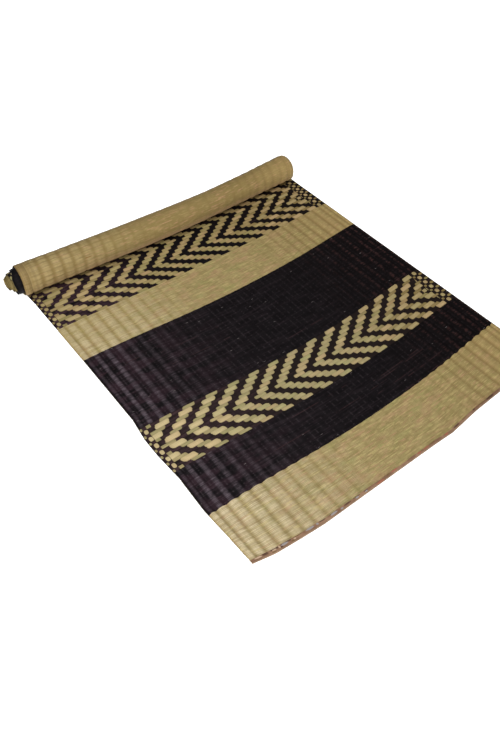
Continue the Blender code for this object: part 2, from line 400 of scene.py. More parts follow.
def roll_line(angle, columns, level):
    """A line of the roll, at level 0 for its outer face, 0.5 for a rim and 1 for its inner face."""
    across = across_at(columns)
    turns = angle / (2 * pi)
    along = float(along_at(angle))
    row = float(row_at(along))
    depth = THICKNESS * level + (0.5 - level) * 2 * RIM_DROP * at_rims(columns)
    if level == 0:
        share = smoothstep(*OUTSIDE_RIBS_RISE, angle) * (1.0 - smoothstep(*OUTSIDE_RIBS_FALL, angle))
        weave = relief(row, columns, across) * (1.0 if turns <= 1 else 0.0)
        depth = depth - ribs(row, across, share) - weave * smoothstep(0.0, OUTSIDE_WEAVE_FULL_AT, angle)
        rounded = np.maximum(1.0 - across / NOSE_ROUNDING_REACH, 0.0) ** 2
        depth = depth + NOSE_ROUNDING * rounded * smoothstep(*NOSE_ROUNDING_STARTS, turns)
    wider = curve(ROLL_END, across)
    looser = curve(LOOSER, across)
    tight = float(np.interp(turns, (LOOSE_TO, TIGHT_FROM), (0.0, 1.0)))
    flare = np.where(wider > 0, wider * max(0.0, 1.0 - turns), wider) + looser * (1.0 - tight)
    radius = ROLL_RADIUS + flare - TURN_PITCH * turns - depth
    left = curve(TURNS, turns)
    rise = CORE_RISE * max(0.0, turns - CORE_RISE_FROM) + TIGHT_RISE_SHARE * looser * tight
    x = across + side_waver(across, ROLL_START) + lean(across, ROLL_START) - left
    x = x + outwards(columns) * rim_bulge(row, level)
    y = ROLL_START - ROLL_BOW * weft_bow(across) + rise + radius * np.sin(angle)
    points = np.stack([x, y, ROLL_RADIUS + flare + rise - radius * np.cos(angle)], axis=1)
    return Line(points, columns, row, along, level)


def evenly(first, last, steps):
    """Places from first to last, with this many steps from each whole number to the next."""
    return np.arange(first * steps, last * steps + 1) / steps


EVEN_COLUMNS = evenly(FIRST_COLUMN, LAST_COLUMN, STEPS_PER_COLUMN)
SIDE_VALLEYS = curve(RIB_VALLEYS, [*range(1, 12), *range(20, 31)])
FINE = np.union1d(EVEN_COLUMNS, column_at(SIDE_VALLEYS))
COARSE = np.array(COARSE_COLUMNS, float)
RIMS = np.array([FIRST_COLUMN, LAST_COLUMN], float)


def sheet_lines():
    """The lines of the sheet's top, of its underside and of its rims."""
    fine_rows = evenly(0, LAST_FINE_ROW, STEPS_PER_ROW)
    outside_rows = evenly(FIRST_OUTSIDE_ROW, LAST_OUTSIDE_ROW, STEPS_PER_ROW)
    last = float(angle_at(LENGTH))
    turns = np.arange(0.0, last - TURN_STEP / 2, TURN_STEP)
    outside_angles = [0.0, *(float(angle_at(along_of_row(row))) for row in outside_rows)]
    inner = [float(angle) for angle in turns if angle > 2 * pi + TURN_STEP / 2] + [last]
    top = [flat_line(row, FINE, 1) for row in fine_rows]
    top += [plain_line(LAST_FLAT_LINE, COARSE, 1)]
    top += [roll_line(float(angle), COARSE, 1) for angle in turns] + [roll_line(last, COARSE, 1)]
    under = [plain_line(along, COARSE, 0) for along in UNDER_ALONG]
    under += [roll_line(angle, FINE, 0) for angle in outside_angles]
    under += [roll_line(angle, COARSE, 0) for angle in inner]
    rims = [flat_line(row, RIMS, 0.5) for row in fine_rows] + [plain_line(LAST_FLAT_LINE, RIMS, 0.5)]
    rims += [roll_line(angle, RIMS, 0.5) for angle in [*outside_angles, *inner]]
    return top, under, rims


def bridge(first, second, turned_over):
    """Triangles between two lists of (place, vertex), which may differ in their counts."""
    faces = []
    i = j = 0
    while i < len(first) - 1 or j < len(second) - 1:
        second_done = j == len(second) - 1
        if second_done or (i < len(first) - 1 and first[i + 1][0] <= second[j + 1][0]):
            face = (first[i][1], first[i + 1][1], second[j][1])
            i += 1
        else:
            face = (first[i][1], second[j + 1][1], second[j][1])
            j += 1
        faces.append(face[::-1] if turned_over else face)
    return faces


def strip(first, second, turned_over):
    """Faces between two lines of the mesh: squares where their columns agree, and triangles elsewhere."""
    if len(first.columns) == len(second.columns):
        start = np.arange(len(first.columns) - 1)
        low, high = first.first + start, second.first + start
        corners = (low, low + 1, high + 1, high)
        squares = np.stack(corners[::-1] if turned_over else corners, axis=1)
        return [tuple(square) for square in squares.tolist()]
    return bridge(first.vertices(), second.vertices(), turned_over)


# Where each part of the sheet lies in the map that textures are laid out in
ZONES = {
    "top": (0.0, 0.962, 0.002, 0.600),
    "top_rolled": (0.950, 1.842, 0.615, 0.690),
    "near_end": (None, None, 0.698, 0.706),
    "under": (0.0, 0.962, 0.715, 0.775),
    "far_end": (None, None, 0.783, 0.791),
    "outside": (0.950, 1.200, 0.800, 0.945),
    "under_rolled": (1.180, 1.842, 0.955, 0.998),
}
# How far along the zones go, on the faces and on the rims
TOP_FLAT_TO, UNDER_FLAT_TO = 0.957, 0.954
TOP_ZONES = {"top": TOP_FLAT_TO, "top_rolled": 2.0}
UNDER_ZONES = {"under": 0.9535, "outside": 1.19, "under_rolled": 2.0}


def sheet_mesh():
    """The closed woven sheet, as its lines, its faces and the zone of each face."""
    top, under, rims = sheet_lines()
    lines = [*top, *under, *rims]
    count = 0
    for line in lines:
        line.first = count
        count += len(line.columns)
    faces, zones = [], []

    def add(found, zone):
        faces.extend(found)
        zones.extend([zone] * len(found))

    for first, second in zip(top, top[1:]):
        add(strip(first, second, False), "top" if second.along < TOP_FLAT_TO else "top_rolled")
    for first, second in zip(under, under[1:]):
        rolled = "outside" if len(second.columns) == len(FINE) else "under_rolled"
        add(strip(first, second, True), "under" if second.along <= UNDER_FLAT_TO else rolled)
    for end, turned_over in ((0, False), (-1, True)):
        tops, middles, unders = (
            [(line.along, line.first + (len(line.columns) - 1 if end else 0)) for line in group]
            for group in (top, rims, under)
        )
        add_rim(add, tops, middles, turned_over, TOP_ZONES)
        add_rim(add, middles, unders, turned_over, UNDER_ZONES)
    for index, turned_over, zone in ((0, False, "near_end"), (-1, True, "far_end")):
        middle, low, high = rims[index], under[index], top[index]
        lower = [(FIRST_COLUMN - 1, middle.first), *low.vertices(), (LAST_COLUMN + 1, middle.first + 1)]
        add(bridge(lower, high.vertices(), turned_over), zone)
    return lines, faces, zones


def add_rim(add, first, second, turned_over, zones):
    """Adds a rim's faces, in zones by how far along they are."""
    places = {vertex: along for along, vertex in [*first, *second]}
    for face in bridge(first, second, turned_over):
        reach = max(places[vertex] for vertex in face)
        add([face], next(zone for zone, limit in zones.items() if reach < limit))


def set_map(mesh, name, values):
    layer = mesh.uv_layers.new(name=name, do_init=False)
    layer.uv.foreach_set("vector", np.ascontiguousarray(values, dtype=np.float32).ravel())


def set_numbers(mesh, name, values):
    layer = mesh.attributes.new(name, "FLOAT", "POINT")
    layer.data.foreach_set("value", np.ascontiguousarray(values, dtype=np.float32))


def add_object(name, data):
    made = bpy.data.objects.new(name, data)
    bpy.context.scene.collection.objects.link(made)
    return made


def add_piece(name, points, faces):
    mesh = bpy.data.meshes.new(name)
    mesh.from_pydata((points - np.array(FOOTPRINT)).tolist(), [], faces)
    mesh.update()
    mesh.shade_smooth()
    return add_object(name, mesh)


def corner_vertices(mesh):
    found = np.empty(len(mesh.loops), np.int32)
    mesh.loops.foreach_get("vertex_index", found)
    return found


def woven_sheet():
    lines, faces, zones = sheet_mesh()
    points = np.concatenate([line.points for line in lines])
    columns = np.concatenate([line.columns for line in lines])
    rows, along, level = (
        np.concatenate([np.full(len(line.columns), float(getattr(line, name))) for line in lines])
        for name in ("row", "along", "level")
    )
    across = across_at(columns)
    piece = add_piece("woven_mat", points, faces)
    mesh = piece.data
    vertex = corner_vertices(mesh)
    set_map(mesh, "weave", np.stack([columns, rows], axis=1)[vertex])
    set_map(mesh, "cloth", np.stack([across, along], axis=1)[vertex])
    margin, rim = 0.02, 0.012
    sideways = margin + (1 - 2 * margin) * across / WIDTH
    sideways = np.where(level == 0.5, np.where(across > WIDTH / 2, 1 - rim, rim), sideways)
    limits = np.array([[0.0 if place is None else place for place in ZONES[zone]] for zone in zones])
    counts = np.empty(len(mesh.polygons), np.int32)
    mesh.polygons.foreach_get("loop_total", counts)
    limits = np.repeat(limits, counts, axis=0)
    ends = limits[:, 1] == 0.0
    share = (along[vertex] - limits[:, 0]) / np.where(ends, 1.0, limits[:, 1] - limits[:, 0])
    share = np.where(ends, level[vertex], share)
    upwards = limits[:, 2] + share * (limits[:, 3] - limits[:, 2])
    set_map(mesh, "OFBake", np.stack([sideways[vertex], upwards], axis=1))
    set_numbers(mesh, "underside", 1.0 - level)
    set_numbers(mesh, "rib", rib_at(across))
    mesh.uv_layers.active = mesh.uv_layers["weave"]
    return piece


# The tape's section
TAPE_STATIONS = 260
TAPE_CORNER, TAPE_EDGE = 0.0011, 0.0003
# How high the pucker of its top lap is, the lengths of its waves, and from what height the section has it
PUCKER, PUCKER_SHORT, PUCKER_LONG, PUCKER_FROM = 0.00012, 0.0065, 0.041, 0.003


def corner(centre, radius, start, end, count=4):
    """Points of a rounded corner of the tape's section, between two angles in degrees."""
    angles = np.radians(np.linspace(start, end, count))
    return [(centre[0] + radius * np.cos(angle), centre[1] + radius * np.sin(angle)) for angle in angles]


def tape_section(lap):
    """The closed section of the folded tape, as (distance along the mat, height), from its top lap's edge."""
    height = 2 * (TAPE_THICKNESS + CLEARANCE) + END_THICKNESS
    front = -CLEARANCE - TAPE_THICKNESS
    low, high = TAPE_EDGE, height - TAPE_EDGE
    inner_front = -CLEARANCE + TAPE_EDGE
    section = corner((lap - TAPE_EDGE, high), TAPE_EDGE, 0, 90, 3)
    section += [(lap * share + front * (1 - share), height) for share in (0.75, 0.5, 0.3)]
    section += corner((front + TAPE_CORNER, height - TAPE_CORNER), TAPE_CORNER, 90, 180)
    section += corner((front + TAPE_CORNER, TAPE_CORNER), TAPE_CORNER, 180, 270)
    section += corner((lap - TAPE_EDGE, low), TAPE_EDGE, 270, 360, 3)
    section += [(lap, TAPE_THICKNESS)]
    section += corner((inner_front, TAPE_THICKNESS + TAPE_EDGE), TAPE_EDGE, 270, 180, 3)
    section += corner((inner_front, height - TAPE_THICKNESS - TAPE_EDGE), TAPE_EDGE, 180, 90, 3)
    return [*section, (lap, height - TAPE_THICKNESS)]


def end_tape():
    points, faces, maps = [], [], []
    places = np.linspace(0.0, WIDTH, TAPE_STATIONS)
    for across in places:
        far = across / WIDTH
        wave = TAPE_WAVE * np.sin(2 * pi * TAPE_WAVES * far) * np.sin(pi * far)
        lap = curve(TAPE_LAP, across) + wave
        section = np.array(tape_section(lap))
        pucker = PUCKER * np.sin(2 * pi * across / PUCKER_SHORT) * np.sin(2 * pi * across / PUCKER_LONG)
        section[:, 1] += pucker * (section[:, 1] > PUCKER_FROM)
        near = curve(NEAR_END, across)
        steps = np.linalg.norm(np.diff(section, axis=0, prepend=section[:1]), axis=1)
        x = across + side_waver(np.array(across), 0.0)
        points += [(float(x), float(along - near), float(z)) for along, z in section]
        front = lap + CLEARANCE + TAPE_THICKNESS
        maps += [(across, front - distance) for distance in np.cumsum(steps)]
    size = len(section)
    for station in range(TAPE_STATIONS - 1):
        base = station * size
        for place in range(size):
            following = (place + 1) % size
            faces.append((base + following, base + size + following, base + size + place, base + place))
    last = (TAPE_STATIONS - 1) * size
    faces.append(tuple(range(size)))
    faces.append(tuple(last + place for place in reversed(range(size))))
    piece = add_piece("end_tape", np.array(points), faces)
    piece.data.set_sharp_from_angle(angle=radians(60))
    set_map(piece.data, "cloth", np.array(maps)[corner_vertices(piece.data)])
    return piece


def set_inputs(node, inputs):
    """Sets the inputs of a node to values, or links them to terms and sockets."""
    for name, value in inputs.items():
        value = value.socket if isinstance(value, Term) else value
        if isinstance(value, bpy.types.NodeSocket):
            node.id_data.links.new(value, node.inputs[name])
        else:
            node.inputs[name].default_value = value


def add_node(tree, kind, inputs, **settings):
    node = tree.nodes.new(kind)
    for name, value in settings.items():
        setattr(node, name, value)
    set_inputs(node, inputs)
    return node


def maths(operation):
    """A method that makes the maths node of this operation."""

    def made(term, *others):
        inputs = dict(enumerate((term, *others)))
        return Term(term.tree, add_node(term.tree, "ShaderNodeMath", inputs, operation=operation).outputs[0])

    return made


class Term:
    """A number in a node tree, so that sums made of nodes read as sums."""

    def __init__(self, tree, socket):
        self.tree, self.socket = tree, socket

    __add__ = maths("ADD")
    __sub__ = maths("SUBTRACT")
    __mul__ = maths("MULTIPLY")
    __truediv__ = maths("DIVIDE")
    __mod__ = maths("FLOORED_MODULO")
    __pow__ = maths("POWER")
    __gt__ = maths("GREATER_THAN")
    __lt__ = maths("LESS_THAN")
    __abs__ = maths("ABSOLUTE")
    whole = maths("FLOOR")
    part = maths("FRACT")
    sine = maths("SINE")
    larger = maths("MAXIMUM")
    smaller = maths("MINIMUM")

    def flipped(self):
        return (self * -1.0) + 1.0

    def rise(self, low, high, start=0.0, end=1.0):
        """A smooth change from start to end as the number goes from low to high."""
        inputs = {"Value": self, "From Min": low, "From Max": high, "To Min": start, "To Max": end}
        node = add_node(self.tree, "ShaderNodeMapRange", inputs, interpolation_type="SMOOTHSTEP")
        return Term(self.tree, node.outputs["Result"])

    def fall(self, low, high):
        return self.rise(low, high, 1.0, 0.0)


def tone(red, green, blue):
    """A colour for a shader, from the numbers up to 255 that a screen shows."""
    shares = np.array((red, green, blue)) / 255.0
    return (*np.where(shares <= 0.04045, shares / 12.92, ((shares + 0.055) / 1.055) ** 2.4).tolist(), 1.0)


def mixed(share, first, second):
    """A colour between two others, which are tones or sockets."""
    inputs = {0: share, 6: first, 7: second}
    return add_node(share.tree, "ShaderNodeMix", inputs, data_type="RGBA").outputs[2]


def scaled(share, colour):
    """A colour made brighter or darker by a number."""
    inputs = {0: colour, "Scale": share}
    return add_node(share.tree, "ShaderNodeVectorMath", inputs, operation="SCALE").outputs[0]


def combined(*parts):
    return add_node(parts[0].tree, "ShaderNodeCombineXYZ", dict(enumerate(parts))).outputs[0]


def noise(detail, *parts):
    tree = parts[0].tree
    inputs = {"Scale": 1.0, "Detail": detail, "Vector": combined(*parts)}
    return Term(tree, add_node(tree, "ShaderNodeTexNoise", inputs).outputs[0])


def scatter(*parts):
    """A random number from 0 to 1 for each whole place."""
    tree = parts[0].tree
    inputs = {"Vector": combined(*parts)}
    return Term(tree, add_node(tree, "ShaderNodeTexWhiteNoise", inputs, noise_dimensions="3D").outputs[0])


def read_map(tree, name):
    node = add_node(tree, "ShaderNodeUVMap", {}, uv_map=name)
    split = add_node(tree, "ShaderNodeSeparateXYZ", {0: node.outputs[0]})
    return Term(tree, split.outputs[0]), Term(tree, split.outputs[1])


def read_numbers(tree, name):
    return Term(tree, add_node(tree, "ShaderNodeAttribute", {}, attribute_name=name).outputs["Fac"])


def new_material(name):
    made = bpy.data.materials.new(name)
    made.use_nodes = True
    return made, made.node_tree, made.node_tree.nodes["Principled BSDF"]


def add_bump(tree, height, distance, strength):
    inputs = {"Distance": distance, "Strength": strength, "Height": height}
    return add_node(tree, "ShaderNodeBump", inputs).outputs[0]


def mixed_numbers(share, first, second):
    """A number between two others."""
    return first + (second - first) * share


def ridge(place, half_width):
    """1 on each whole number of place and 0 further from it than half_width."""
    nearest = abs(((place + 0.5) % 1.0) - 0.5)
    return nearest.fall(0.0, half_width)


def within(value, low, high):
    return (value > low) * (value < high)


def in_rows(name, from_low, from_high):
    """Whether a place is in a stripe, by its distances from the mat's middle, one for each of its edges."""
    low, high = STRIPES[name]
    return (from_low > low - 0.5) * (from_high < high - 0.5)


CHECKS = (
    (-3.0, -1.0, "thin"),
    (-1.0, 0.0, "thick"),
    (0.0, 0.6, "thin"),
    (56.0, 57.0, "thick"),
    (57.0, 58.0, "thin"),
    (58.0, 60.0, "thick"),
)
FIRST_RIB = (0.0, 0.6)
# The pointed rows end at the right in one more natural speck: its middle column and half its width
SPECK = (55.15, 0.45)
STRAWS_PER_ROW, STRAW_WANDER = 4.0, 1.6
# A float's half length in columns, how much longer in bright rows and in the narrow stripe, and how its ends
# slant and fray
FLOAT_REACH, BRIGHT_REACH, NARROW_REACH = 1.02, 0.13, 0.02
FLOAT_SLANT, FLOAT_FRAY = 0.26, 0.34
FLOAT_HALF_ROW, FLOAT_POWERS = 0.575, (4.0, 4.5)
CREST_PUSH = 0.20


def noise_along(w, count, fine, step, layers, start=0.0):
    """A noise that changes across the mat, and along it with a count of rows or straws."""
    return noise(layers, w.across * fine, count * step + start, w.underside)


def read_weave(tree):
    """What the sedge's shader reads from the mesh, and the pattern of the weave that follows from it."""
    w = SimpleNamespace()
    w.column, w.row = read_map(tree, "weave")
    w.across, w.along = read_map(tree, "cloth")
    w.underside, w.rib = read_numbers(tree, "underside"), read_numbers(tree, "rib")
    w.rightness = w.across * (1.0 / WIDTH)
    w.leftness = w.rightness.flipped()
    w.at_left = w.leftness.rise(0.50, 1.0) ** 1.4
    w.at_right = w.rightness.rise(0.50, 0.95)
    w.fade = w.across.smaller(w.across * -1.0 + WIDTH).rise(0.06, 0.44, 1.0, 0.16)
    w.crest = abs((w.rib * pi).sine())
    w.half_ribs = w.rib * 2.0
    w.warp_count = (w.half_ribs + 0.5).whole()
    w.outer_face = w.underside.rise(0.4, 0.6)
    w.number, w.place = w.row.whole(), w.row.part()
    w.off_middle = abs(w.place - 0.5)

    # A rib's crest pushes a plain natural stripe a little into the black one beside it
    push = w.crest * w.fade * CREST_PUSH
    from_centre = abs(w.row - (MIDDLE_ROW + 0.5))
    outside_core = w.row < INNER_END_ROW
    w.wide = in_rows("wide", from_centre, from_centre)
    w.narrow = in_rows("narrow", from_centre, from_centre) * outside_core
    w.chevrons = w.wide.larger(w.narrow)
    w.plain = w.chevrons.flipped()
    black = in_rows("inner_black", from_centre - push, from_centre)
    black = black.larger(in_rows("outer_black", from_centre, from_centre + push) * outside_core)

    thick_left = ((w.number + (w.number > PARITY_SWAPS_AT - 0.5)) % 2.0) < 0.5
    left_ends = {"thick": thick_left, "thin": thick_left.flipped()}
    thick_here = mixed_numbers(thick_left, w.rightness, w.leftness)
    w.dull = thick_here.fall(0.20, 0.62) * w.chevrons
    w.bright = thick_here.rise(0.55, 0.95) * w.chevrons

    # Straws lie in fours in a row, a little unevenly, each of its own colour
    wander = noise_along(w, w.row, 3.0, 0.9, 1.0)
    w.blotches = noise_along(w, w.row, 26.0, 0.55, 2.0)
    w.tints = noise_along(w, w.row, 17.0, 0.42, 2.0, 40.0)
    w.fibres = noise_along(w, w.row, 60.0, 22.0, 4.0)
    w.mottle = noise_along(w, w.row, 60.0, 1.7, 2.0)
    w.straw_row = w.row * STRAWS_PER_ROW + wander * STRAW_WANDER
    w.straw_count = w.straw_row.whole()
    fray = noise_along(w, w.straw_count, 130.0, 5.9, 2.0)
    w.yellows = noise_along(w, w.straw_count, 42.0, 7.1, 1.0)
    w.pinks = noise_along(w, w.straw_count, 30.0, 3.3, 1.0, 90.0)
    w.each_straw = noise_along(w, w.straw_count, 14.0, 2.3, 1.0, 20.0)
    w.broken = noise_along(w, w.straw_count, 22.0, 3.7, 2.0)
    w.line = ridge(w.straw_row, 0.36) * w.broken.rise(0.34, 0.60)
    length = (w.across * 6.0 + w.straw_count * 0.53).whole()
    w.long_straw = scatter(w.straw_count, length, w.underside.whole() + 5.0)

    # Two columns of natural and two of black, one column further on each row, turning at the point
    count = abs(w.number - MIDDLE_ROW)
    beyond = count - (w.narrow * (NARROW_POINT - WIDE_POINT) + WIDE_POINT)
    shift = abs(beyond)
    phase = (w.column - shift + w.outer_face * FLOAT_COLUMNS + 1.0) % (2.0 * FLOAT_COLUMNS)
    leaning = beyond.larger(-1.0).smaller(1.0) * ((w.row > MIDDLE_ROW + 0.5) * 2.0 - 1.0)
    slant = leaning * (w.place - 0.5) * FLOAT_SLANT
    from_middle = abs(phase - slant - FLOAT_COLUMNS + (fray - 0.5) * FLOAT_FRAY)
    share = from_middle / (w.bright * BRIGHT_REACH + w.narrow * NARROW_REACH + FLOAT_REACH)
    rounding = share ** FLOAT_POWERS[0] + (w.off_middle * (1 / FLOAT_HALF_ROW)) ** FLOAT_POWERS[1]
    floats = rounding.fall(0.86, 1.14)
    float_count = ((w.column - shift + 1.0) * (0.5 / FLOAT_COLUMNS)).whole()
    w.per_float = scatter(w.number, float_count, w.underside.whole() + 3.0)
    w.gap = w.off_middle.rise(0.36, 0.50) * w.chevrons
    w.float_end = share.rise(0.55, 1.0) * w.chevrons

    sides = reduce(Term.larger, [within(w.column, low, high) * left_ends[end] for low, high, end in CHECKS])
    cell = (abs(w.column.part() - 0.5) * 2.0) ** 3.0 + (w.off_middle * 2.0) ** 3.0
    checks = sides * cell.fall(0.62, 0.92)
    plain_edge = (w.column < LEFT_EDGE_COLUMNS).larger(w.column > RIGHT_EDGE_COLUMNS)
    first_rib = within(w.column, *FIRST_RIB)
    w.narrow_columns = plain_edge.larger(first_rib)
    speck = (shift < 0.5) * (abs(w.column - SPECK[0]) < SPECK[1]) * (w.off_middle < 0.40)
    pattern = (floats * plain_edge.flipped()).larger(checks * plain_edge)
    pattern = pattern.larger(sides * first_rib).larger(speck)
    w.natural = mixed_numbers(w.chevrons, black.flipped(), pattern)
    return w


# The two tones of plain straw and of plain ink, as a screen shows them
STRAW_TONES = ((147, 131, 87), (156, 140, 95))
INK_TONES = ((13, 10, 12), (19, 16, 18))
# How far across the lines along the roll's left edge go
EDGE_LINES_TO = 0.036
# A stray brown straw on the roll: how far across it lies, half its length, and how far along it lies
STRAY_STRAW = (0.177, 0.009, 1.114)
RIMS_ROLLED_FROM = 0.95


class Paint:
    """A colour that named others are laid over, each in its places, with a strength and a tone."""

    def __init__(self, share, tones):
        self.colour = mixed(share, *(tone(*shade) for shade in tones))

    def lay(self, name, where, strength, *shade):
        self.colour = mixed(where * strength, self.colour, tone(*shade))
        self.colour.node.label = name


def straw_colour(w):
    """The colour of the natural straws."""
    outside = w.outer_face * (w.row < LAST_OUTSIDE_ROW)
    straw = Paint(w.blotches.rise(0.35, 0.65), STRAW_TONES)
    straw.lay("pink patches", w.tints.rise(0.52, 0.66), 0.50, 170, 136, 104)
    straw.lay("green patches", w.tints.fall(0.34, 0.46), 0.42, 146, 145, 90)
    # Painted shade: the right side, and its chevrons more so, darker and more saturated, where less light and
    # sheen fall
    straw.lay("right side", w.at_right, 0.50, 148, 127, 80)
    straw.lay("right chevrons", w.chevrons * w.at_right, 0.58, 122, 97, 56)
    straw.lay("outer face", w.outer_face, 0.76, 124, 104, 62)
    # Painted bounce light: the roll's outer face paler and pinker low down on its near side, less so at the
    # right
    straw.lay("low on roll", w.along.rise(1.128, 1.160) * outside, w.at_right * -0.20 + 0.80, 204, 168, 134)
    where = w.yellows.rise(0.50, 0.68) * (w.outer_face * -0.68 + 1.0)
    straw.lay("pale straws", where, w.at_left * 0.30 + 0.42, 196, 178, 120)
    straw.lay("dark straws", w.yellows.fall(0.32, 0.48), w.at_left * 0.15 + 0.36, 124, 110, 68)
    straw.lay("pink straws", w.pinks.rise(0.54, 0.72), 0.52, 180, 140, 108)

    # Painted highlight: crests are paler at the left, where the sheen falls
    painted_crest_sheen = (w.crest.rise(0.05, 1.0) * 0.68 + 0.21) * w.at_left * w.plain
    painted_crest_sheen = painted_crest_sheen * (w.each_straw.rise(0.32, 0.68) * 0.7 + 0.45)
    straw.lay("painted_crest_sheen", painted_crest_sheen * (w.outer_face * -0.72 + 1.0), 1.0, 208, 192, 157)
    # Painted highlight: the roll's rib crests and row middles paler at the left
    pillow_highlight = w.crest.rise(0.10, 0.90) * w.off_middle.fall(0.10, 0.45) * w.outer_face * w.at_left
    straw.lay("pillows", pillow_highlight * w.each_straw.rise(0.35, 0.62, 0.12, 0.44), 1.0, 186, 164, 112)
    # Painted shade: valleys between the ribs darker, more so at the right and on the roll's outer face at the
    # left
    valley = w.crest.fall(0.10, 0.85) * w.fade * (w.plain * 0.9 + 0.1)
    deeper = w.at_right * (w.outer_face * -0.36 + 0.60) + w.outer_face * w.at_left * 0.34
    straw.lay("valleys", valley * (deeper + 0.16), 1.0, 114, 92, 54)

    # Lines between straws and rows, warps that show through, and stray colours
    straw.lay("straw lines", w.line, w.at_left * 0.24 + w.at_right * 0.30 + 0.36, 104, 88, 56)
    warp = scatter(w.straw_count, w.warp_count, w.underside.whole() + 2.0)
    straw.lay("warps", ridge(w.half_ribs, 0.16) * warp * w.plain, 0.22, 112, 98, 62)
    where = w.off_middle.rise(0.32, 0.50) * w.outer_face * w.broken.rise(0.25, 0.55)
    straw.lay("row lines", where, w.at_left * 0.34 + 0.12, 104, 84, 48)
    straw.lay("brown straws", (w.long_straw > 0.975) * w.broken.rise(0.40, 0.55), 0.20, 128, 96, 66)
    straw.lay("fibres", w.fibres.rise(0.30, 0.75), 0.16, 122, 106, 68)

    # Painted shade: the far part darker and more saturated at the left, where less light and sheen fall. Then
    # the chevrons with their pale and their dull ends
    far = w.along.rise(0.50, 0.95) * w.at_left
    straw.lay("far", far * (w.chevrons + 1.0), 0.32, 132, 112, 68)
    straw.lay("far plain", far * w.plain * w.outer_face.flipped(), 0.24, 162, 142, 60)
    # Painted shade: the narrow right, wide right and dull right layers darken the chevrons at the right,
    # where less light falls
    straw.lay("narrow right", w.narrow * w.at_right, 0.22, 124, 102, 62)
    straw.lay("narrow left", w.narrow * w.at_right.flipped(), 0.30, 172, 170, 134)
    straw.lay("wide right", w.wide * w.at_right, 0.42, 116, 88, 44)
    straw.lay("right edge", w.at_right ** 6.0 * w.plain, 0.24, 176, 150, 98)
    straw.lay("wide left", w.wide * w.dull * w.at_left, 0.30, 122, 104, 72)
    straw.lay("bright ends", w.bright * (w.at_left * (far * -0.45 + 0.36) + 0.30), 1.0, 212, 192, 146)
    straw.lay("dull ends", w.dull, 0.26, 138, 130, 88)
    straw.lay("dull right", w.dull * w.at_right, 0.34, 112, 92, 54)
    straw.lay("pink floats", w.per_float.rise(0.60, 1.0) * w.chevrons, 0.30, 196, 162, 122)
    straw.lay("green floats", w.per_float.fall(0.0, 0.35) * w.chevrons, 0.25, 150, 148, 98)
    # Painted shade: floats darker at their ends, where they dip; the row edges darker too
    straw.lay("float edges", w.gap.larger(w.float_end), 0.20, 112, 96, 60)
    straw.lay("float lines", w.line * w.chevrons, 0.22, 112, 94, 60)

    # The roll's left edge, its core, and the grooves of the plain edges
    in_edge = (w.across < EDGE_LINES_TO) * w.outer_face
    straw.lay("dark edge lines", ridge((w.across - 0.013) / 0.016, 0.36) * in_edge, 0.36, 98, 78, 46)
    straw.lay("light edge line", ridge((w.across - 0.0185) / 0.050, 0.10) * in_edge, 0.20, 196, 176, 130)
    straw.lay("brown edge", w.across.fall(0.004, 0.030) * outside, 0.42, 112, 90, 54)
    # Painted shade: the roll's core darker and greener, where it lies in shade inside the roll
    core = (w.row > INNER_END_ROW) * w.outer_face
    straw.lay("core", core, 0.62, 116, 104, 64)
    straw.lay("core lines", core * w.line, 0.40, 70, 58, 34)
    groove = ridge(w.column, 0.09) * w.narrow_columns
    straw.lay("grooves", groove * (w.chevrons * 0.35 + w.outer_face * 0.25 + 0.30), 1.0, 92, 74, 48)
    place, reach, distance = STRAY_STRAW
    stray = (abs(w.across - place) < reach) * abs(w.along - distance).fall(0.0004, 0.0013)
    straw.lay("stray straw", stray * w.outer_face * w.broken.rise(0.30, 0.50), 0.75, 112, 66, 32)
    return straw.colour


